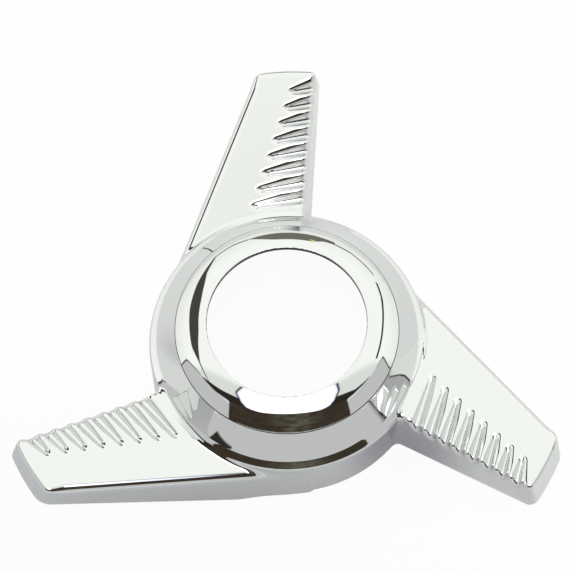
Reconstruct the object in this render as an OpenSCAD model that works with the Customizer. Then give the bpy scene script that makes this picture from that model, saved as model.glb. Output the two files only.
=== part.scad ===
// Bicycle knock-off spinner: one chromed casting, a hollow ring with three swept arms.
// Z is the ring's axis. The flat back rim lies on Z = 0 and the front hole faces +Z.
// The first arm points along +Y, and the others follow at 120 and 240 degrees.

/* [Ring] */
// Height from the back rim to the lip of the front hole
ring_h = 28; // [26:0.5:32]
// Radius of the open front hole
hole_r = 19; // [17:0.25:20]
// Height of the hole's straight lip
lip_h = 1.2; // [0.8:0.1:2]
// Slope of the dome beside the lip, in degrees
lip_slope = 12; // [8:1:16]
// Radius of the dome's arc in section
dome_r = 15.5; // [14.5:0.25:17]
// Width of the dome, from the hole to the crease
dome_w = 7.7; // [7:0.1:8.4]
// Width of the cove, from the crease to its foot
cove_w = 4.9; // [4.5:0.1:5.3]
// Slope of the cove under the crease, in degrees
cove_top_slope = 55; // [53:1:57]
// Slope of the cove at its foot, in degrees
cove_foot_slope = 49; // [46:1:51]
// Slope of the narrow ledge outside the cove, in degrees
ledge_slope = 36; // [30:1:42]
// Width of the ledge and the shoulder, from the cove's foot to the ring's side
ledge_w = 1.8; // [1.6:0.1:2.4]
// Rounding radius of the shoulder
shoulder_round = 0.5; // [0.3:0.1:1]
// Draft of the ring's side, in degrees
side_draft = 1; // [0.5:0.25:2]

/* [Hub socket] */
// Thickness of the back rim around the round socket
rim_t = 2.1; // [1.6:0.1:2.6]
// Depth of the straight part of the socket
socket_depth = 11; // [8:0.5:12]
// Thickness of the shell behind the cove
shell_t = 2; // [1.6:0.1:2.4]

/* [Arms] */
// Number of arms
arm_count = 3; // [2:1:4]
// Distance from the axis to the top edge of an arm's tip
arm_reach = 69.1; // [66:0.1:72]
// Drop from the lip of the hole to the front face at the tip
tip_drop = 3.4; // [2:0.1:5]
// Rise of the front face toward the tip, in degrees
face_rise = 12.5; // [12:0.1:13.5]
// Thickness of the arm at the tip
tip_t = 7.8; // [6:0.1:9]
// Rise of the underside toward the tip, in degrees
under_rise = 20.8; // [19:0.2:23]
// Width of the front face at the tip
tip_w = 14.9; // [12:0.1:16]
// Sideways place of the middle of the tip
tip_x = 1.8; // [1:0.05:3]
// Distance of the smooth edge's line inside the ring's side
smooth_inset = 0.7; // [0.7:0.1:2]
// Lean of the serrated edge away from the arm's own direction, in degrees
cut_edge_lean = 8.5; // [7:0.1:10]
// Draft of the smooth side wall, in degrees
smooth_draft = 1.8; // [1:0.1:2]
// Draft of the serrated side wall, in degrees
cut_edge_draft = 7; // [5:0.5:10]
// Draft of the tip wall, in degrees
tip_draft = 17; // [14:0.5:22]
// Rounding radius of the two tip corners
corner_r = 1.2; // [0.6:0.1:2]

/* [Serration] */
// Number of cuts along the serrated edge
cut_count = 8; // [4:1:8]
// Distance from one cut to the next along the arm
cut_pitch = 3.92; // [3.6:0.01:4]
// Depth of a cut at the edge
cut_depth = 2.7; // [1.6:0.1:3.4]
// Length of the cut nearest the tip, measured across the arm
first_cut_l = 6.6; // [5:0.1:8]
// Length that each cut gains on the cut before it
cut_growth = 1.02; // [0.7:0.01:1.1]
// Distance from the tip edge to the first ridge
first_ridge = 2.6; // [2:0.1:3]
// Width of the ridge left between two cuts at the edge
ridge_w = 0.12; // [0.08:0.02:0.4]
// Distance of a cut's valley from the middle of its mouth, toward the tip
valley_shift = 0.8; // [0:0.1:1.2]
// Slant of the cuts toward the tip, in degrees
cut_slant = 5; // [0:1:8]

/* [Hidden] */

$fn = 96;
// Reach of the cutting blocks, more than any size of the part
big = 300;
// Distance that a cut runs on beyond the surface it opens
past = 4;
arc_steps = 10;
small_steps = 4;
corner_steps = 3;

// Points on a circular arc in the ring's section
function arc(c, r, a0, a1, n) =
    [for (i = [0 : n]) let (a = a0 + (a1 - a0) * i / n) [c[0] + r * cos(a), c[1] + r * sin(a)]];

// Radii that the ring's widths add up to
crease_r = hole_r + dome_w;
cove_r = crease_r + cove_w;
shoulder_r = cove_r + ledge_w;

// The dome's arc starts at the lip and ends at the crease
dome_c = [hole_r - dome_r * sin(lip_slope), ring_h - dome_r * cos(lip_slope)];
dome_end = acos((crease_r - dome_c[0]) / dome_r);
crease_z = dome_c[1] + dome_r * sin(dome_end);

// The cove is a long hollow arc from the crease to its foot
cove_arc = (cove_r - crease_r) / (sin(cove_top_slope) - sin(cove_foot_slope));
cove_c = [crease_r + cove_arc * sin(cove_top_slope), crease_z + cove_arc * cos(cove_top_slope)];
cove_z = cove_c[1] - cove_arc * cos(cove_foot_slope);

// The shoulder's arc joins the ledge to the side
shoulder_x = shoulder_r - shoulder_round;
ledge_end_r = shoulder_x + shoulder_round * sin(ledge_slope);
ledge_end_z = cove_z - (ledge_end_r - cove_r) * tan(ledge_slope);
shoulder_z = ledge_end_z - shoulder_round * cos(ledge_slope);
base_r = shoulder_r + shoulder_z * tan(side_draft);
socket_r = base_r - rim_t;

// The hollow follows the cove and the dome at the shell's thickness
mid_slope = (cove_top_slope + cove_foot_slope) / 2;
shell_dr = shell_t * sin(mid_slope);
shell_dz = shell_t * cos(mid_slope);

// The first arm's tip corners and the directions that its walls face, seen from the front
tip_z = ring_h - tip_drop;
tip_left = [tip_x - tip_w / 2, arm_reach];
tip_right = [tip_x + tip_w / 2, arm_reach];
smooth_dir = atan2(tip_left[1], tip_left[0]) + acos((shoulder_r - smooth_inset) / norm(tip_left));
cut_edge_dir = -cut_edge_lean;
tip_dir = 90;
// The blank starts inside the ring's wall
arm_start = 15;
under_z = tip_z - tip_t;
under_y = arm_reach + tip_t * tan(tip_draft);

function face_z(y) = tip_z - (arm_reach - y) * tan(face_rise);
function edge_x(y) = tip_right[0] - (arm_reach - y) * tan(cut_edge_lean)
    + (tip_z - face_z(y)) * tan(cut_edge_draft);
function mix(a, b, t) = a + (b - a) * t;

module ring_outside() {
    rotate_extrude()
        polygon(concat(
            [[0, 0], [base_r, 0]],
            arc([shoulder_x, shoulder_z], shoulder_round, 0, 90 - ledge_slope, small_steps),
            arc(cove_c, cove_arc, 270 - cove_foot_slope, 270 - cove_top_slope, small_steps),
            arc(dome_c, dome_r, dome_end, 90 - lip_slope, arc_steps),
            [[0, ring_h]]
        ));
}

module ring_hollow() {
    translate([0, 0, -past])
        rotate_extrude()
            polygon([
                [0, 0],
                [socket_r, 0],
                [socket_r, past + socket_depth],
                [cove_r - shell_dr, past + cove_z - shell_dz],
                [crease_r - shell_dr, past + crease_z - shell_dz],
                [hole_r, past + ring_h - lip_h],
                [hole_r, past + ring_h + past],
                [0, past + ring_h + past]
            ]);
}

// Removes what lies outside a drafted wall through point p that faces direction dir
module outside_wall(p, dir, draft) {
    translate([p[0], p[1], tip_z])
        rotate([0, 0, dir])
            rotate([0, -draft, 0])
                translate([0, -big / 2, -big / 2])
                    cube(big);
}

// Walls that turn a tip corner between two directions
module outside_corner(c, dir0, dir1, draft0, draft1) {
    for (i = [1 : corner_steps]) {
        t = i / (corner_steps + 1);
        dir = mix(dir0, dir1, t);
        p = [c[0] + corner_r * cos(dir), c[1] + corner_r * sin(dir)];
        outside_wall(p, dir, mix(draft0, draft1, t));
    }
}

// Centre of the arc that rounds the corner between the tip wall and a side wall
function corner_centre(p, dir, side) =
    let (half = abs(tip_dir - dir) / 2)
    [p[0] - side * corner_r * tan(half), p[1] - corner_r];

module arm_blank() {
    difference() {
        translate([-big / 2, arm_start, 0])
            cube([big, big, ring_h]);
        translate([0, arm_reach, tip_z])
            rotate([face_rise, 0, 0])
                translate([-big / 2, -big, 0])
                    cube([big, 2 * big, big]);
        translate([0, under_y, under_z])
            rotate([under_rise, 0, 0])
                translate([-big / 2, -big, -big])
                    cube([big, 2 * big, big]);
        outside_wall(tip_left, smooth_dir, smooth_draft);
        outside_corner(corner_centre(tip_left, smooth_dir, -1), smooth_dir, tip_dir, smooth_draft, tip_draft);
        outside_wall(tip_left, tip_dir, tip_draft);
        outside_corner(corner_centre(tip_right, cut_edge_dir, 1), cut_edge_dir, tip_dir,
            cut_edge_draft, tip_draft);
        outside_wall(tip_right, cut_edge_dir, cut_edge_draft);
    }
}

// One V-shaped cut, whose valley dives from its end on the front face to the serrated edge
module serration_cut(i) {
    mouth_y = arm_reach - first_ridge - (i + 0.5) * cut_pitch;
    cut_l = first_cut_l + i * cut_growth;
    end_y = mouth_y - cut_l * tan(cut_slant);
    end = [edge_x(mouth_y) - cut_l, end_y, face_z(end_y)];
    valley_y = mouth_y + valley_shift;
    mouth = [edge_x(valley_y), valley_y, face_z(valley_y) - cut_depth];
    run = mouth - end;
    flat = norm([run[0], run[1]]);
    half_w = (cut_pitch - ridge_w) / 2;
    translate(end)
        rotate([0, atan2(-run[2], flat), atan2(run[1], run[0])])
            rotate([90, 0, 90])
                translate([0, 0, -past])
                    linear_extrude(height = norm(run) + 2 * past)
                        scale(2)
                            polygon([
                                [0, 0],
                                [half_w - valley_shift, cut_depth],
                                [-half_w - valley_shift, cut_depth]
                            ]);
}

module arm() {
    difference() {
        arm_blank();
        for (i = [0 : cut_count - 1])
            serration_cut(i);
    }
}

module spinner_casting() {
    color("silver")
        difference() {
            union() {
                ring_outside();
                for (k = [0 : arm_count - 1])
                    rotate([0, 0, k * 360 / arm_count])
                        arm();
            }
            ring_hollow();
        }
}

spinner_casting();
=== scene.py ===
"""A chromed knock-off spinner: one casting with a domed ring and three swept, serrated arms.

The casting is drawn as a distance field in millimetres, so that every edge and every joint between
an arm and the ring has its real rounding. The field is meshed once and given one chrome finish.
"""
import math

import bpy
import numpy as np
from mathutils import Matrix, Vector


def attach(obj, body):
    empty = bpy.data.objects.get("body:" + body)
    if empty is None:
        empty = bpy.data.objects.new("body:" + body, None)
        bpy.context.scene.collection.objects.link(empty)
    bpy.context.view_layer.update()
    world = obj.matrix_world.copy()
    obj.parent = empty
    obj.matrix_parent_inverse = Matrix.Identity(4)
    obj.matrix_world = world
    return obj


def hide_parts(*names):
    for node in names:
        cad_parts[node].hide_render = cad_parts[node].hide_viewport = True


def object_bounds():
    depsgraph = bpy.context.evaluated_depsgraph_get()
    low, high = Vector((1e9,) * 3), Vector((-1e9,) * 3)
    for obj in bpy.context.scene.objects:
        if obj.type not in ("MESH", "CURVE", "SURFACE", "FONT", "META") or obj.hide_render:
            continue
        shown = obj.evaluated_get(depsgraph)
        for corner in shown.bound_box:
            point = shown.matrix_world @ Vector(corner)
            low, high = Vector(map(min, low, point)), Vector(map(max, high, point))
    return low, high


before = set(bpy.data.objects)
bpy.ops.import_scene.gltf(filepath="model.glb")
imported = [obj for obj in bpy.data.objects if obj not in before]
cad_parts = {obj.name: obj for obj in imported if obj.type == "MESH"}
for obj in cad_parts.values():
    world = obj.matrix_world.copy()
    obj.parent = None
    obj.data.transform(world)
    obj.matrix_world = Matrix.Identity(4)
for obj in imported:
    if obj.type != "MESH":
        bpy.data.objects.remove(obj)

cad_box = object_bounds()

# One millimetre, in Blender's metres
MM = 0.001


def sin_d(angle):
    return math.sin(math.radians(angle))


def cos_d(angle):
    return math.cos(math.radians(angle))


def tan_d(angle):
    return math.tan(math.radians(angle))


# The ring's sizes, in mm and degrees
RING_HEIGHT = 28.0
HOLE_R = 19.0
LIP_HEIGHT = 1.5
LIP_SLOPE = 12.0
# Radius of the dome's arc in section
DOME_ARC = 15.5
CREASE_R = 26.7
COVE_FOOT_R = 31.6
COVE_TOP_SLOPE = 55.0
COVE_FOOT_SLOPE = 49.0
LEDGE_SLOPE = 36.0
SIDE_R = 33.4
SIDE_DRAFT = 1.0
# Thickness of the shell over the hollow, and of the rim round the socket
SHELL = 2.0
RIM = 2.1
SOCKET_DEPTH = 11.0
# Roundings of the edges and hollows between these surfaces
SHOULDER_ROUND = 0.5
CREASE_ROUND = 0.04
FOOT_ROUND = 0.06
LIP_ROUND = 0.25
BASE_ROUND = 1.2
HOLLOW_ROUND = 1.0

# The dome's arc starts at the lip and ends at the crease
DOME_R = HOLE_R - DOME_ARC * sin_d(LIP_SLOPE)
DOME_Z = RING_HEIGHT - DOME_ARC * cos_d(LIP_SLOPE)
CREASE_TILT = math.asin((CREASE_R - DOME_R) / DOME_ARC)
CREASE_Z = DOME_Z + DOME_ARC * math.cos(CREASE_TILT)
# The cove is a long hollow arc from the crease to its foot
COVE_ARC = (COVE_FOOT_R - CREASE_R) / (sin_d(COVE_TOP_SLOPE) - sin_d(COVE_FOOT_SLOPE))
COVE_R = CREASE_R + COVE_ARC * sin_d(COVE_TOP_SLOPE)
COVE_Z = CREASE_Z + COVE_ARC * cos_d(COVE_TOP_SLOPE)
COVE_FOOT_Z = COVE_Z - COVE_ARC * cos_d(COVE_FOOT_SLOPE)
# The ledge runs from the cove's foot to the shoulder, and the side down from there
LEDGE_END_R = SIDE_R - SHOULDER_ROUND + SHOULDER_ROUND * sin_d(LEDGE_SLOPE)
LEDGE_END_Z = COVE_FOOT_Z - (LEDGE_END_R - COVE_FOOT_R) * tan_d(LEDGE_SLOPE)
SHOULDER_Z = LEDGE_END_Z - SHOULDER_ROUND * cos_d(LEDGE_SLOPE)
BASE_R = SIDE_R + SHOULDER_Z * tan_d(SIDE_DRAFT)
SOCKET_R = BASE_R - RIM

# An arm's sizes, in mm and degrees
ARM_REACH = 69.1
TIP_DROP = 3.4
TIP_Z = RING_HEIGHT - TIP_DROP
TIP_WIDTH = 14.9
TIP_X = 1.8
TIP_LEFT_X, TIP_RIGHT_X = TIP_X - TIP_WIDTH / 2, TIP_X + TIP_WIDTH / 2
TIP_THICK = 7.8
TIP_DRAFT = 17.0
# Radius of the tip's slight bow, and how far it goes to each side of the tip's middle
TIP_BOW_R = 52.0
TIP_BOW_REACH = 9.0
FACE_RISE = 12.5
UNDER_RISE = 20.8
# The smooth wall goes past the ring this far inside its side, which gives the way that it faces
SMOOTH_INSET = 0.7
SMOOTH_TURN = math.acos((SIDE_R - SMOOTH_INSET) / math.hypot(TIP_LEFT_X, ARM_REACH))
SMOOTH_FACING = round(math.degrees(math.atan2(ARM_REACH, TIP_LEFT_X) + SMOOTH_TURN), 3)
SMOOTH_DRAFT = 1.8
CUT_EDGE_FACING = -8.5
CUT_EDGE_DRAFT = 7.0
# The rounding of the tip's two corners grows by this share of the depth below the face, down to
# this depth
TIP_CORNER = 1.2
TIP_CORNER_GROWTH = 0.12
TIP_CORNER_DEPTH = 8.0
SMOOTH_EDGE_ROUND = 2.4
TIP_EDGE_ROUND = 1.2
CUT_EDGE_ROUND = 1.0
UNDER_ROUND = 0.5
# Distance over which one edge's rounding turns into the next one's
ROUND_CHANGE = 4.0
# The fillet against the ring grows between these two depths below the face
FACE_FILLET = 1.2
WALL_FILLET = 1.8
FACE_FILLET_DEPTH = 0.5
WALL_FILLET_DEPTH = 3.5
# A third of a turn starts here, clear of each arm and of its fillets
THIRD = 120.0
THIRD_START = 66.0

# The serration, in mm and degrees
CUTS = 8
CUT_PITCH = 3.92
CUT_DEPTH = 3.0
FIRST_CUT = 6.4
CUT_GROWTH = 0.98
FIRST_RIDGE = 2.6
RIDGE_WIDTH = 0.12
VALLEY_SHIFT = 0.8
CUT_SLANT = 7.5
VALLEY_ROUND = 1.6
RIDGE_ROUND = 1.1
# Depth and slope of a cut at its inner end, and the share of the roundings there
END_DEPTH = 1.1
END_SLOPE = 45.0
END_ROUND = 0.55


def both(a, b, rounding):
    """What lies inside a and b, with the edge between them rounded."""
    corner = np.hypot(np.maximum(a + rounding, 0), np.maximum(b + rounding, 0))
    return np.minimum(-rounding, np.maximum(a, b)) + corner


def either(a, b, fillet):
    """What lies inside a or b, with a fillet in the corner between them."""
    return -both(-a, -b, fillet)


def blend(start, end, share):
    """From start at a share of 0 to end at a share of 1, and level beyond them."""
    return start + (end - start) * np.clip(share, 0, 1)


def wall(x, y, z, point, facing, lean):
    """Distance in front of a plane through a point, facing that way in plan and leaning upward."""
    along = (x - point[0]) * cos_d(facing) + (y - point[1]) * sin_d(facing)
    return along * cos_d(lean) + (z - point[2]) * sin_d(lean)


def slope(r, z, point, tilt):
    """Distance above a cone that falls outward at that tilt."""
    return (r - point[0]) * sin_d(tilt) + (z - point[1]) * cos_d(tilt)


def ring_outside(r, z):
    """Distance to the ring before its hollow."""
    crease_r, crease_z = math.sin(CREASE_TILT), math.cos(CREASE_TILT)
    out, up = r - DOME_R, z - DOME_Z
    past_crease = out * crease_z > up * crease_r
    dome = np.where(past_crease, out * crease_r + up * crease_z, np.hypot(out, up)) - DOME_ARC
    cove = COVE_ARC - np.hypot(r - COVE_R, z - COVE_Z)
    ledge = slope(r, z, (COVE_FOOT_R, COVE_FOOT_Z), LEDGE_SLOPE)
    side = slope(r, z, (BASE_R, 0), 90 - SIDE_DRAFT)
    top = either(both(dome, cove, CREASE_ROUND), ledge, FOOT_ROUND)
    return both(top, side, SHOULDER_ROUND)


def ring_hollow(r, z):
    """The socket, the room behind the dome and the cove at the shell's thickness, and the hole."""
    mid_slope = (COVE_TOP_SLOPE + COVE_FOOT_SLOPE) / 2
    step_r, step_z = SHELL * sin_d(mid_slope), SHELL * cos_d(mid_slope)
    roof = [
        (HOLE_R, RING_HEIGHT - LIP_HEIGHT),
        (CREASE_R - step_r, CREASE_Z - step_z),
        (COVE_FOOT_R - step_r, COVE_FOOT_Z - step_z),
        (SOCKET_R, SOCKET_DEPTH),
    ]
    hollow = r - SOCKET_R
    for inner, outer in zip(roof, roof[1:]):
        tilt = math.degrees(math.atan2(inner[1] - outer[1], outer[0] - inner[0]))
        hollow = both(hollow, slope(r, z, inner, tilt), HOLLOW_ROUND)
    return either(hollow, r - HOLE_R, LIP_ROUND)


def face_z(y):
    """Height of the first arm's front face."""
    return TIP_Z - (ARM_REACH - y) * tan_d(FACE_RISE)


def cut_edge_x(y):
    """Where the serrated edge is on the front face, before the cuts."""
    lean = tan_d(-CUT_EDGE_FACING) * (ARM_REACH - y)
    return TIP_RIGHT_X - lean + (TIP_Z - face_z(y)) * tan_d(CUT_EDGE_DRAFT)


def serration_frames():
    """Where each cut ends on the face, its length, and its directions along, across and up."""
    frames = []
    for i in range(CUTS):
        mouth_y = ARM_REACH - FIRST_RIDGE - (i + 0.5) * CUT_PITCH
        length = FIRST_CUT + i * CUT_GROWTH
        end_y = mouth_y - length * tan_d(CUT_SLANT)
        end = np.array([cut_edge_x(mouth_y) - length, end_y, face_z(end_y)])
        valley_y = mouth_y + VALLEY_SHIFT
        mouth_z = face_z(valley_y) - CUT_DEPTH + END_DEPTH
        run = np.array([cut_edge_x(valley_y), valley_y, mouth_z]) - end
        reach = np.linalg.norm(run)
        run /= reach
        across = np.cross([0, 0, 1], run)
        across /= np.linalg.norm(across)
        frames.append((end, reach, run, across, np.cross(run, across)))
    return frames


SERRATION = serration_frames()


def cut_away_serration(arm, x, y, z):
    """The arm less its cuts, each with two flanks, a rounded valley and a sloping inner end."""
    flank = (CUT_PITCH - RIDGE_WIDTH) / 2
    near, far = flank - VALLEY_SHIFT, flank + VALLEY_SHIFT
    for end, reach, run, across, up in SERRATION:
        px, py, pz = x - end[0], y - end[1], z - end[2]
        along = px * run[0] + py * run[1] + pz * run[2]
        side = px * across[0] + py * across[1]
        rise = px * up[0] + py * up[1] + pz * up[2]
        over = rise + END_DEPTH
        near_flank = (side * CUT_DEPTH - over * near) / math.hypot(CUT_DEPTH, near)
        far_flank = (-side * CUT_DEPTH - over * far) / math.hypot(CUT_DEPTH, far)
        end_wall = -along * sin_d(END_SLOPE) - rise * cos_d(END_SLOPE)
        grown = blend(END_ROUND, 1, along / reach)
        valley = both(near_flank, far_flank, VALLEY_ROUND * grown)
        cut = both(valley, end_wall, VALLEY_ROUND * grown)
        arm = both(arm, -cut, RIDGE_ROUND * grown)
    return arm


def arm_and_face(x, y, z):
    """The first arm, and the distance above its front face."""
    face = wall(x, y, z, (0, ARM_REACH, TIP_Z), -90, 90 - FACE_RISE)
    under_y = ARM_REACH + TIP_THICK * tan_d(TIP_DRAFT)
    under = -wall(x, y, z, (0, under_y, TIP_Z - TIP_THICK), -90, 90 - UNDER_RISE)
    tip_left = (TIP_LEFT_X, ARM_REACH, TIP_Z)
    tip_right = (TIP_RIGHT_X, ARM_REACH, TIP_Z)
    smooth_edge = wall(x, y, z, tip_left, SMOOTH_FACING, SMOOTH_DRAFT)
    cut_edge = wall(x, y, z, tip_right, CUT_EDGE_FACING, CUT_EDGE_DRAFT)
    sideways = np.clip(x - TIP_X, -TIP_BOW_REACH, TIP_BOW_REACH)
    bow = sideways ** 2 / (2 * TIP_BOW_R) * cos_d(TIP_DRAFT)
    tip = wall(x, y, z, (0, ARM_REACH, TIP_Z), 90, TIP_DRAFT) + bow
    corner = TIP_CORNER + TIP_CORNER_GROWTH * np.clip(TIP_Z - z, 0, TIP_CORNER_DEPTH)
    outline = both(both(smooth_edge, tip, corner), cut_edge, corner)
    top_round = blend(TIP_EDGE_ROUND, SMOOTH_EDGE_ROUND, -tip / ROUND_CHANGE)
    top_round = blend(CUT_EDGE_ROUND, top_round, -cut_edge / ROUND_CHANGE)
    arm = both(both(outline, face, top_round), under, UNDER_ROUND)
    # The arm starts at the plane through the ring's axis that is square to its smooth edge
    arm = np.maximum(arm, y * cos_d(SMOOTH_FACING) - x * sin_d(SMOOTH_FACING))
    return cut_away_serration(arm, x, y, z), face


def casting(points):
    """Distance to the casting's surface, negative inside the metal."""
    x, y, z = points.T
    r = np.hypot(x, y)
    turn = np.floor((np.degrees(np.arctan2(y, x)) - THIRD_START) / THIRD)
    back = turn * math.radians(-THIRD)
    cos_back, sin_back = np.cos(back), np.sin(back)
    arm, face = arm_and_face(x * cos_back - y * sin_back, x * sin_back + y * cos_back, z)
    below = (-face - FACE_FILLET_DEPTH) / (WALL_FILLET_DEPTH - FACE_FILLET_DEPTH)
    joined = either(ring_outside(r, z), arm, blend(FACE_FILLET, WALL_FILLET, below))
    outside = both(joined, -z, BASE_ROUND)
    return both(outside, -ring_hollow(r, z), LIP_ROUND)


# The mesh of the casting

PITCH = 0.32
TRIANGLES = 190_000
# Cells of the grid beyond the CAD box on each side
BORDER = 3
# Cells along each side of a block, which is filled only if its middle is near the surface
BLOCK = 5
BLOCK_MARGIN = 1.25
# Most points that are worked out at once
AT_ONCE = 400_000
# Distance between the two tries for a direction, on each side, in mm
TRY_STEP = 0.01
FINE_TRY_STEP = 0.004
# Rounds of settling on the surface, and the longest move in one, in mm
SETTLE_ROUNDS = 2
LONGEST_MOVE = 0.2
# A corner whose direction is more than this off its face's, in degrees, takes the direction at a
# place inside the face, this share of the way to the middle
SHARP = 14.0
INTO_FACE = 0.4
# Least length that a direction is divided by
LEAST_LENGTH = 1e-12


def casting_in_parts(points):
    """The same distance for any number of points."""
    starts = range(0, len(points), AT_ONCE)
    return np.concatenate([casting(points[i:i + AT_ONCE]) for i in starts])


def unit(vectors):
    lengths = np.linalg.norm(vectors, axis=1, keepdims=True)
    return vectors / np.maximum(lengths, LEAST_LENGTH)


def surface_directions(points, step=TRY_STEP):
    """The outward direction of the surface at points on or near it."""
    gradient = np.empty_like(points)
    for axis in range(3):
        shift = np.zeros(3)
        shift[axis] = step
        gradient[:, axis] = casting_in_parts(points + shift) - casting_in_parts(points - shift)
    return unit(gradient)


def settle_on_surface(points):
    """Points near the surface, moved onto it."""
    for _ in range(SETTLE_ROUNDS):
        step = casting_in_parts(points)[:, None] * surface_directions(points)
        points = points - np.clip(step, -LONGEST_MOVE, LONGEST_MOVE)
    return points


def field_near_surface(low, high, pitch):
    """The distance at each point of a grid, exact only in the blocks near the surface."""
    block = pitch * BLOCK
    counts = np.ceil((high - low) / block).astype(int)
    middles = low + (np.indices(counts).reshape(3, -1).T + 0.5) * block
    field = casting_in_parts(middles).reshape(counts)
    for axis in range(3):
        field = np.repeat(field, BLOCK, axis)
    field = field.astype(np.float32)
    near = np.abs(field) < block * math.sqrt(3) / 2 * BLOCK_MARGIN
    field[near] = casting_in_parts(low + np.argwhere(near) * pitch)
    return field


def mesh_of_casting(low, high, pitch):
    """Vertices and quads: a vertex in each cell that the surface passes, a quad at each edge."""
    field = field_near_surface(low, high, pitch)
    inside = field < 0
    strides = np.array([field.shape[1] * field.shape[2], field.shape[2], 1])
    owners, crossings = [], []
    for axis in range(3):
        ahead, behind = [slice(None)] * 3, [slice(None)] * 3
        ahead[axis], behind[axis] = slice(1, None), slice(None, -1)
        start = np.argwhere(inside[tuple(behind)] != inside[tuple(ahead)])
        after = start.copy()
        after[:, axis] += 1
        at_start, at_end = field[tuple(start.T)], field[tuple(after.T)]
        point = low + start * pitch
        point[:, axis] += pitch * at_start / (at_start - at_end)
        one_side, other_side = strides[(axis + 1) % 3], strides[(axis + 2) % 3]
        cell = start @ strides
        around = np.stack(
            [cell, cell - one_side, cell - one_side - other_side, cell - other_side], 1)
        around[at_start > 0] = around[at_start > 0][:, ::-1]
        owners.append(around)
        crossings.append(np.repeat(point[:, None, :], 4, 1))
    owners, crossings = np.concatenate(owners), np.concatenate(crossings).reshape(-1, 3)
    _, index = np.unique(owners.ravel(), return_inverse=True)
    shares = np.bincount(index)
    verts = np.stack([np.bincount(index, crossings[:, i]) / shares for i in range(3)], 1)
    return verts, index.reshape(-1, 4)


def corner_directions(points, faces):
    """A direction for each face corner: the surface's own, or beside a sharp edge that face's."""
    corners = surface_directions(points)[faces]
    a, b, c = (points[faces[:, i]] for i in range(3))
    flat = unit(np.cross(b - a, c - a))
    middle = (a + b + c) / 3
    off = np.einsum("fij,fj->fi", corners, flat) < cos_d(SHARP)
    face, corner = np.nonzero(off)
    beside = points[faces[face, corner]] * (1 - INTO_FACE) + middle[face] * INTO_FACE
    corners[face, corner] = surface_directions(beside, FINE_TRY_STEP)
    return corners


def make_casting(pitch):
    """The casting as one mesh, thinned out, with the surface's own directions for its shading."""
    low = np.array(list(cad_box[0])) / MM - BORDER * pitch
    high = np.array(list(cad_box[1])) / MM + BORDER * pitch
    verts, quads = mesh_of_casting(low, high, pitch)
    verts = settle_on_surface(verts)
    rough = bpy.data.meshes.new("rough_casting")
    rough.from_pydata(verts.tolist(), [], quads.tolist())
    piece = bpy.data.objects.new("plated_casting", rough)
    bpy.context.scene.collection.objects.link(piece)
    thin = piece.modifiers.new("thin", "DECIMATE")
    thin.ratio = TRIANGLES / (2 * len(quads))
    thin.use_collapse_triangulate = True
    thinned = piece.evaluated_get(bpy.context.evaluated_depsgraph_get())
    mesh = bpy.data.meshes.new_from_object(thinned)
    piece.modifiers.clear()
    piece.data = mesh
    mesh.name = "plated_casting"
    points = np.empty(len(mesh.vertices) * 3)
    mesh.vertices.foreach_get("co", points)
    points = settle_on_surface(points.reshape(-1, 3))
    faces = np.empty(len(mesh.polygons) * 3, int)
    mesh.polygons.foreach_get("vertices", faces)
    directions = corner_directions(points, faces.reshape(-1, 3))
    mesh.vertices.foreach_set("co", (points * MM).ravel())
    mesh.polygons.foreach_set("use_smooth", np.ones(len(mesh.polygons), bool))
    mesh.update()
    mesh.normals_split_custom_set(directions.reshape(-1, 3).tolist())
    return piece


# Nodes of materials and of the world

# Places of a Mix node's colour sockets, which share their names with its other sockets
COLOUR_A, COLOUR_B, MIXED_COLOUR = 6, 7, 2
# A drawn line's places and heights lie between minus and plus this
DRAWN_REACH = 256
WHITE = (1, 1, 1, 1)


class Nodes:
    """One node tree. add() puts in a node of any type and returns one of its outputs."""

    def __init__(self, owner):
        owner.use_nodes = True
        self.tree = owner.node_tree
        self.tree.nodes.clear()

    def add(self, kind, settings=None, inputs=None, output=0):
        node = self.tree.nodes.new("ShaderNode" + kind)
        for name, value in (settings or {}).items():
            if name == "stops":
                elements = node.color_ramp.elements
                while len(elements) < len(value):
                    elements.new(1)
                for element, (place, level) in zip(elements, value):
                    element.position = place
                    element.color = (level, level, level, 1)
            else:
                setattr(node, name, value)
        for name, value in (inputs or {}).items():
            if isinstance(value, Value):
                self.tree.links.new(value.socket, node.inputs[name])
            else:
                node.inputs[name].default_value = value
        return Value(self, node.outputs[output]) if node.outputs else None

    def axis(self, vector, name):
        """The X, Y or Z of a vector."""
        return self.add("SeparateXYZ", inputs={"Vector": vector}, output=name)

    def mix(self, mask, a, b):
        """Colour a where the mask is 0 and colour b where it is 1."""
        inputs = {"Factor": mask, COLOUR_A: a, COLOUR_B: b}
        return self.add("Mix", {"data_type": "RGBA"}, inputs, MIXED_COLOUR)


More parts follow.
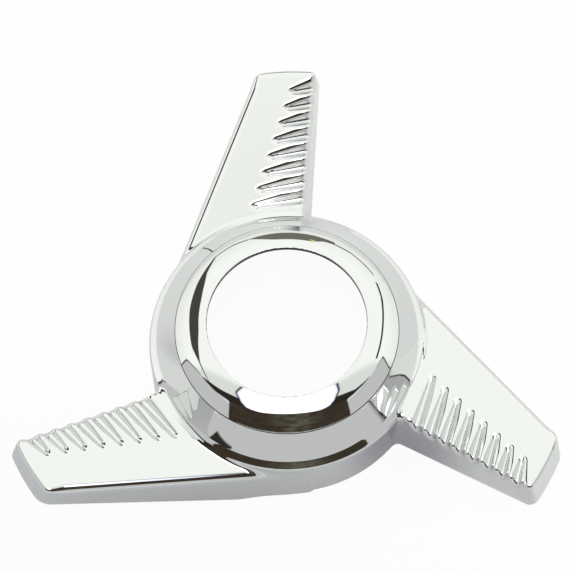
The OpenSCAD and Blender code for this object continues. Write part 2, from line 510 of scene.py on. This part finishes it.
class Value:
    """A socket that Python's arithmetic works on. Each operation adds its Math node."""

    def __init__(self, nodes, socket):
        self.nodes = nodes
        self.socket = socket

    def math(self, operation, *others):
        return self.nodes.add("Math", {"operation": operation}, dict(enumerate((self, *others))))

    def __add__(self, other):
        return self.math("ADD", other)

    __radd__ = __add__

    def __mul__(self, other):
        return self.math("MULTIPLY", other)

    __rmul__ = __mul__

    def __sub__(self, other):
        return self.math("SUBTRACT", other)

    def __rsub__(self, other):
        return -1 * self + other

    def __truediv__(self, other):
        return self.math("DIVIDE", other)

    def __abs__(self):
        return self.math("ABSOLUTE")

    def most(self, other):
        return self.math("MAXIMUM", other)

    def distance(self, other):
        """The length of the line whose two legs these are."""
        return (self * self + other * other).math("SQRT")

    def over(self, level, soft):
        """0 below the level and 1 above it, with a step that is soft by this much each way."""
        inputs = {"Value": self, "From Min": level - soft, "From Max": level + soft}
        return self.nodes.add("MapRange", {"interpolation_type": "SMOOTHSTEP"}, inputs)

    def profile(self, stops):
        """The height of a line that is drawn through stops, at this place along it."""
        span = 2 * DRAWN_REACH
        stops = [((place + DRAWN_REACH) / span, (height + DRAWN_REACH) / span)
                 for place, height in stops]
        share = (self + DRAWN_REACH) / span
        drawn = self.nodes.add("ValToRGB", {"stops": stops}, {"Fac": share})
        return drawn * span - DRAWN_REACH


# The chrome plate

# Colours of the plate, and of the painted shade in the crease and on the hole's wall
PLATE = (0.70, 0.705, 0.70)
PAINTED_SHADE = (0.02, 0.02, 0.02)
# Width of the painted shade line along the crease between the dome and the cove, in mm
CREASE_LINE = 0.16
# Softness of the painted shade line's sides and of the edge of the painted shade on the hole's
# wall, in mm
LINE_SOFT = 0.04
# The wall has painted shade out to this far past the hole's radius, in mm, where it faces up less
# than this
WALL_REACH = 0.2
WALL_FACING = 0.45
WALL_FACING_SOFT = 0.2
# Steps, each a level and its softness. The inside starts this far out from the hole's radius and
# ends this far in from the socket's, in mm, and faces down by this. The back faces down by more
INSIDE_START = (0.6, 0.2)
INSIDE_END = (-0.3, 0.1)
INSIDE_FACING = (-0.2, 0.05)
BACK_FACING = (0.45, 0.1)
# Roughness of the polish, and what the haze adds to it in places
POLISH = 0.02
HAZE = 0.02
# What the unpolished back adds, evenly and in its grain
BACK_ROUGH = 0.2
BACK_GRAIN = 0.1
# Height of the polish's faint ripple and of the back's grain, in metres
RIPPLE_HEIGHT = 0.0000025
GRAIN_HEIGHT = 0.00004
# Noise scales per metre and details
HAZE_NOISE = {"Scale": 90.0, "Detail": 3.0}
GRAIN_NOISE = {"Scale": 1400.0, "Detail": 4.0}
RIPPLE_NOISE = {"Scale": 160.0, "Detail": 1.0}


def chrome_plate():
    """Bright polished chrome outside, with painted shade in the crease and on the hole's wall, and
    a duller back.
    """
    chrome = bpy.data.materials.new("chrome_plate")
    nodes = Nodes(chrome)
    place = nodes.add("TexCoord", output="Object")
    radius = nodes.axis(place, "X").distance(nodes.axis(place, "Y")) / MM
    up = nodes.axis(nodes.add("NewGeometry", output="Normal"), "Z")
    down = 0 - up
    past_hole = (radius - HOLE_R).over(*INSIDE_START)
    in_socket = (SOCKET_R - radius).over(*INSIDE_END)
    inside = past_hole * in_socket * down.over(*INSIDE_FACING)
    back = inside.most(down.over(*BACK_FACING))
    haze, grain, ripple = (
        nodes.add("TexNoise", inputs={"Vector": place, **noise})
        for noise in (HAZE_NOISE, GRAIN_NOISE, RIPPLE_NOISE))
    rough = haze * HAZE + POLISH + back * (grain * BACK_GRAIN + BACK_ROUGH)
    height = ripple * RIPPLE_HEIGHT + back * grain * GRAIN_HEIGHT
    bump = nodes.add("Bump", inputs={"Strength": 1.0, "Distance": 1.0, "Height": height})
    # Painted shade: a dark line in the crease and a dark hole wall, put into the plate's colour
    crease = 1 - abs(radius - CREASE_R).over(CREASE_LINE / 2, LINE_SOFT)
    hole_wall_shade = (HOLE_R + WALL_REACH - radius).over(0, LINE_SOFT)
    hole_wall_shade = hole_wall_shade * (WALL_FACING - up).over(0, WALL_FACING_SOFT)
    colour = nodes.mix(crease.most(hole_wall_shade), (*PLATE, 1), (*PAINTED_SHADE, 1))
    finish = nodes.add("BsdfPrincipled", inputs={
        "Base Color": colour, "Metallic": 1.0, "Roughness": rough, "Normal": bump})
    nodes.add("OutputMaterial", inputs={"Surface": finish})
    return chrome


# The studio

# It is drawn on a flat chart of directions, in degrees away from straight up: to the right, and
# away from the camera. A step is a level and its softness, a span says where a form starts and
# ends, and a half is half of a line's width.

# Softness of the chart's edges, of its thin lines and of the lamp's ends
EDGE_SOFT = 0.6
LINE_EDGE_SOFT = 0.5
LAMP_END_SOFT = 1.0
# White in 8 bits, and the power that turns a shown level into light
SHOWN_WHITE = 255
DISPLAY_GAMMA = 2.2
# Keeps straight up out of a division by zero
TINY = 0.001

# The tent's level at each angle from straight up, as 8-bit grey, and its tint
TENT_LEVELS = ((0, 233), (5, 243), (35, 244), (60, 247), (75, 240), (95, 229))
TENT_TINT = {"Red": 1.40, "Green": 1.43, "Blue": 1.37}
# Its near side is darker from this far toward the camera and this far out to each side
NEAR_SIDE_STEP = (2, 4)
NEAR_SIDE_OUT_STEP = (10, 10)

# The panel lies on the near side of this line, through (right, away) points, from this far down,
# with a seam along the line at both sides from this far out
PANEL_TOP = ((-90, 2), (-71, 5), (-59, -4), (-52, -12), (52, -12), (61, 2), (79, -7), (90, -7))
PANEL_STEP = (50, 1)
PANEL_SEAM_STEP = (56, 1)
PANEL_SEAM_HALF = 0.7

# The lamp's sides, through (away, right) points
LAMP_LEFT = ((-34, -19), (-31, -26), (-24, -27), (-13, -25), (1, -13))
LAMP_RIGHT = ((-34, 19), (-31, 24), (-24, 25), (-13, 23), (2, 14))
LAMP_SPAN = (-34, -2.5)
# Width of the lamp's frame at its sides, and half the width over which its light grows inside them
LAMP_FRAME = 1.3
LAMP_FRAME_SPAN = (-35.4, -2.5)
LAMP_EDGE = 3
# The sides of the dark room round it, through such points, and its foot, through (right, away) ones
ROOM_LEFT = ((-68, -64), (-56, -54), (-27, -38), (-22, -42), (-16, -39), (-9, -55))
ROOM_RIGHT = ((-68, 64), (-56, 54), (-29, 37), (-24, 42), (-21, 38), (-13, 50))
ROOM_FOOT = ((-64, -48), (-54, -57), (-30, -66), (0, -71), (30, -66), (54, -57), (64, -48))
ROOM_TOP = -20
# Where the room's lighter middle is, and how far it goes to each side
ROOM_MIDDLE = 4
ROOM_MIDDLE_STEP = (12, 9)
# What stands in the room, as noise that is darker over this step
CLUTTER_NOISE = {"Scale": 7.0, "Detail": 4.0}
CLUTTER_STEP = (0.5, 0.16)

# Two dark wedges beside the lamp and a gap at the left, through (right, away) points
LEFT_WEDGE_NEAR = ((-55, -9.5), (-48, -19), (-38, -27), (-27, -31))
LEFT_WEDGE_FAR = ((-55, -8.5), (-39, -16), (-28, -19), (-27, -23))
LEFT_WEDGE_SPAN = (-55, -26)
RIGHT_WEDGE_NEAR = ((25, -31), (37, -29), (46, -19), (50, -14))
RIGHT_WEDGE_FAR = ((25, -23), (38, -21), (50, -13))
RIGHT_WEDGE_SPAN = (24, 50)
GAP_NEAR = ((-66, -58.5), (-50, -67))
GAP_FAR = ((-66, -49), (-50, -58))
GAP_SPAN = (-65.7, -49)

# A curtain at the left and a seam at the right, through (away, right) points
CURTAIN_LEFT = ((-12, -49), (3, -51), (13, -56), (39, -56), (57, -52), (80, -42))
CURTAIN_RIGHT = (
    (-12, -48), (3, -49), (13, -44), (21, -39), (37, -38), (48, -40), (60, -43), (80, -41))
CURTAIN_SPAN = (-12, 80)
SEAM = ((1, 51), (21, 53), (42, 56), (54, 54))
SEAM_SPAN = (1, 54)
SEAM_HALF = 1.5

# The far wall down to the table's edge, with a seam at each side, through (right, away) points, and
# a glint on it
FAR_WALL_FOOT = ((-22, 86), (-20, 84), (-5, 69), (0, 68), (13, 68), (21, 75), (28, 77), (30, 85))
FAR_WALL_SPAN = (-22, 30)
FAR_WALL_END = 100
TABLE_EDGE = 87
TABLE_EDGE_SOFT = 1
FAR_SEAM_LEFT = ((-44, 76), (-42, 79), (-31, 84), (-20, 84))
FAR_SEAM_LEFT_SPAN = (-44, -20)
FAR_SEAM_LEFT_HALF = 1.2
FAR_SEAM_RIGHT = ((23, 78), (38, 74), (50, 65), (54, 61))
FAR_SEAM_RIGHT_SPAN = (23, 54)
FAR_SEAM_RIGHT_HALF = 1.3
GLINT_RIGHT, GLINT_AWAY = 14, 71
GLINT_STEP = (1.6, 0.6)

# What the chrome shows of each, as 8-bit colours
NEAR_SIDE_SHOWN = (213, 218, 213)
PANEL_SHOWN = (186, 188, 187)
PANEL_SEAM_SHOWN = (50, 50, 48)
ROOM_MIDDLE_SHOWN = (88, 87, 75)
ROOM_SHOWN = (62, 55, 47)
CLUTTER_SHOWN = (55, 49, 42)
WEDGE_SHOWN = (45, 43, 38)
GAP_SHOWN = (50, 47, 42)
CURTAIN_SHOWN = (68, 68, 62)
SEAM_SHOWN = (28, 28, 25)
FAR_WALL_SHOWN = (108, 107, 97)
FAR_SEAM_SHOWN = (64, 64, 56)
GLINT_SHOWN = (205, 196, 120)
LAMP_FRAME_SHOWN = (40, 40, 45)
# The lamp's light at its sides and in its middle
LAMP_SIDE_LIGHT = (1.20, 1.26, 1.52, 1)
LAMP_LIGHT = (2.6, 2.6, 2.6, 1)


def light_level(shown):
    """The light that chrome shows as this 8-bit colour."""
    levels = zip(shown, PLATE)
    return tuple((level / SHOWN_WHITE) ** DISPLAY_GAMMA / plate for level, plate in levels) + (1,)


def line(offset, half_width):
    """1 on a line and 0 beside it."""
    return 1 - abs(offset).over(half_width, LINE_EDGE_SOFT)


def between(low, value, high, soft=EDGE_SOFT):
    """1 from low to high and 0 outside them."""
    return (value - low).over(0, soft) * (high - value).over(0, soft)


def within(value, span, soft=EDGE_SOFT):
    return between(span[0], value, span[1], soft)


def studio():
    """A white tent round the object, with the openings and seams that the chrome reflects."""
    world = bpy.data.worlds.new("studio")
    bpy.context.scene.world = world
    nodes = Nodes(world)
    ray = nodes.add("TexCoord", output="Generated")
    ray_x, ray_y, ray_z = (nodes.axis(ray, name) for name in "XYZ")
    zenith = ray_z.math("ARCCOSINE") * (180 / math.pi)
    spread = zenith / ray_x.distance(ray_y).most(TINY)
    right, away = ray_x * spread, ray_y * spread

    level = (zenith.profile(TENT_LEVELS) / SHOWN_WHITE).math("POWER", DISPLAY_GAMMA)
    tint = {name: level * share for name, share in TENT_TINT.items()}
    tent = nodes.add("CombineColor", inputs=tint)

    def paint(mask, shown):
        return nodes.mix(mask, tent, light_level(shown))

    near_side = (0 - away).over(*NEAR_SIDE_STEP) * abs(right).over(*NEAR_SIDE_OUT_STEP)
    tent = paint(near_side, NEAR_SIDE_SHOWN)
    panel_top = right.profile(PANEL_TOP)
    panel = (panel_top - away).over(0, EDGE_SOFT) * zenith.over(*PANEL_STEP)
    tent = paint(panel, PANEL_SHOWN)
    panel_seam = line(away - panel_top, PANEL_SEAM_HALF)
    tent = paint(panel_seam * abs(right).over(*PANEL_SEAM_STEP), PANEL_SEAM_SHOWN)

    room = between(away.profile(ROOM_LEFT), right, away.profile(ROOM_RIGHT))
    room = room * between(right.profile(ROOM_FOOT), away, ROOM_TOP)
    beside = abs(right - ROOM_MIDDLE).over(*ROOM_MIDDLE_STEP)
    room_light = nodes.mix(beside, light_level(ROOM_MIDDLE_SHOWN), light_level(ROOM_SHOWN))
    clutter = nodes.add("TexNoise", inputs={"Vector": ray, **CLUTTER_NOISE})
    room_light = nodes.mix(clutter.over(*CLUTTER_STEP), room_light, light_level(CLUTTER_SHOWN))
    tent = nodes.mix(room, tent, room_light)

    left_wedge = between(right.profile(LEFT_WEDGE_NEAR), away, right.profile(LEFT_WEDGE_FAR))
    left_wedge = left_wedge * within(right, LEFT_WEDGE_SPAN)
    right_wedge = between(right.profile(RIGHT_WEDGE_NEAR), away, right.profile(RIGHT_WEDGE_FAR))
    right_wedge = right_wedge * within(right, RIGHT_WEDGE_SPAN)
    tent = paint(left_wedge.most(right_wedge), WEDGE_SHOWN)
    gap = between(right.profile(GAP_NEAR), away, right.profile(GAP_FAR))
    tent = paint(gap * within(right, GAP_SPAN), GAP_SHOWN)

    curtain = between(away.profile(CURTAIN_LEFT), right, away.profile(CURTAIN_RIGHT))
    tent = paint(curtain * within(away, CURTAIN_SPAN), CURTAIN_SHOWN)
    seam = line(right - away.profile(SEAM), SEAM_HALF)
    tent = paint(seam * within(away, SEAM_SPAN), SEAM_SHOWN)

    far_wall = between(right.profile(FAR_WALL_FOOT), away, FAR_WALL_END)
    far_wall = far_wall * (TABLE_EDGE - zenith).over(0, TABLE_EDGE_SOFT)
    far_wall = far_wall * within(right, FAR_WALL_SPAN)
    tent = paint(far_wall, FAR_WALL_SHOWN)
    left_seam = line(away - right.profile(FAR_SEAM_LEFT), FAR_SEAM_LEFT_HALF)
    left_seam = left_seam * within(right, FAR_SEAM_LEFT_SPAN)
    right_seam = line(away - right.profile(FAR_SEAM_RIGHT), FAR_SEAM_RIGHT_HALF)
    right_seam = right_seam * within(right, FAR_SEAM_RIGHT_SPAN)
    tent = paint(left_seam.most(right_seam), FAR_SEAM_SHOWN)
    off_glint = (right - GLINT_RIGHT).distance(away - GLINT_AWAY).over(*GLINT_STEP)
    tent = paint(1 - off_glint, GLINT_SHOWN)

    lamp_left, lamp_right = away.profile(LAMP_LEFT), away.profile(LAMP_RIGHT)
    lamp_frame = between(lamp_left - LAMP_FRAME, right, lamp_right + LAMP_FRAME)
    lamp_frame = lamp_frame * within(away, LAMP_FRAME_SPAN, LAMP_END_SOFT)
    tent = paint(lamp_frame, LAMP_FRAME_SHOWN)
    lamp = between(lamp_left, right, lamp_right) * within(away, LAMP_SPAN, LAMP_END_SOFT)
    lamp_middle = between(lamp_left + LAMP_EDGE, right, lamp_right - LAMP_EDGE, LAMP_EDGE)
    tent = nodes.mix(lamp, tent, nodes.mix(lamp_middle, LAMP_SIDE_LIGHT, LAMP_LIGHT))

    seen = nodes.add("LightPath", output="Is Camera Ray")
    shown = nodes.add("Background", inputs={"Color": WHITE, "Strength": 1.0})
    lit = nodes.add("Background", inputs={"Color": tent, "Strength": 1.0})
    result = nodes.add("MixShader", inputs={"Fac": seen, 1: lit, 2: shown})
    nodes.add("OutputWorld", inputs={"Surface": result})


# The paper sheet

# Half of its width, in metres
SHEET_HALF = 0.25
PAPER = (0.86, 0.87, 0.87, 1)
# Painted shade in the paper's colour: darker toward the front over a slanting step, darkest as a
# painted shadow in a round place at the front right, plain paper past the last step. Places in mm
FRONT_PAINTED_SHADE = (0.60, 0.605, 0.635, 1)
FRONT_SLANT = 0.5
FRONT_STEP = (-25, 25)
DIM_PAINTED_SHADOW = (0.42, 0.42, 0.47, 1)
DIM_X, DIM_Y = 27, -28
DIM_STEP = (10, 9)
LIT_STEP = (115, 20)
# Share of plain white in what the camera sees, and in what is seen in a mirror or through glass
SEEN_WHITE = 0.95
MIRRORED_WHITE = 0.1


def table_top():
    """A sheet of white paper, shown nearly white with a faint shadow, its colour holding painted
    shade.
    """
    signs = ((-1, -1), (1, -1), (1, 1), (-1, 1))
    corners = [(x * SHEET_HALF, y * SHEET_HALF, 0) for x, y in signs]
    mesh = bpy.data.meshes.new("paper_sheet")
    mesh.from_pydata(corners, [], [(0, 1, 2, 3)])
    sheet = bpy.data.objects.new("paper_sheet", mesh)
    bpy.context.scene.collection.objects.link(sheet)
    paper = bpy.data.materials.new("white_paper")
    nodes = Nodes(paper)
    place = nodes.add("TexCoord", output="Object")
    x, y = (nodes.axis(place, name) / MM for name in "XY")
    # Painted shade toward the front and a painted shadow at the front right, in the paper's colour
    shade = nodes.mix((y + x * FRONT_SLANT).over(*FRONT_STEP), FRONT_PAINTED_SHADE, PAPER)
    shade = nodes.mix((x - DIM_X).distance(y - DIM_Y).over(*DIM_STEP), DIM_PAINTED_SHADOW, shade)
    shade = nodes.mix(x.distance(y).over(*LIT_STEP), shade, PAPER)
    seen, gloss, clear = (
        nodes.add("LightPath", output=f"Is {kind} Ray")
        for kind in ("Camera", "Glossy", "Transmission"))
    diffuse = nodes.add("BsdfDiffuse", inputs={"Color": shade})
    glow = nodes.add("Emission", inputs={"Color": WHITE, "Strength": 1.0})
    white = seen * SEEN_WHITE + (gloss + clear) * MIRRORED_WHITE
    surface = nodes.add("MixShader", inputs={"Fac": white, 1: diffuse, 2: glow})
    nodes.add("OutputMaterial", inputs={"Surface": surface})
    mesh.materials.append(paper)


# The camera, in mm and degrees
CAMERA_PLACE = (0.2198, -191.26, 498.46)
CAMERA_TILT = 23.043
CAMERA_ROLL = -1.853
CAMERA_LENS = 134.98
# Farthest distance that it sees, in metres
CAMERA_END = 20


def camera():
    """The photograph's view: 67 degrees above the table, from in front."""
    data = bpy.data.cameras.new("camera")
    data.lens = CAMERA_LENS
    data.clip_end = CAMERA_END
    eye = bpy.data.objects.new("camera", data)
    eye.matrix_world = (
        Matrix.Translation(Vector(CAMERA_PLACE) * MM)
        @ Matrix.Rotation(math.radians(CAMERA_TILT), 4, "X")
        @ Matrix.Rotation(math.radians(CAMERA_ROLL), 4, "Z")
    )
    bpy.context.scene.collection.objects.link(eye)
    bpy.context.scene.camera = eye


camera()
studio()
table_top()

spinner = make_casting(PITCH)
spinner.data.materials.clear()
spinner.data.materials.append(chrome_plate())
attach(spinner, "root")
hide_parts("spinner_casting")

bpy.context.scene.view_settings.view_transform = "Standard"
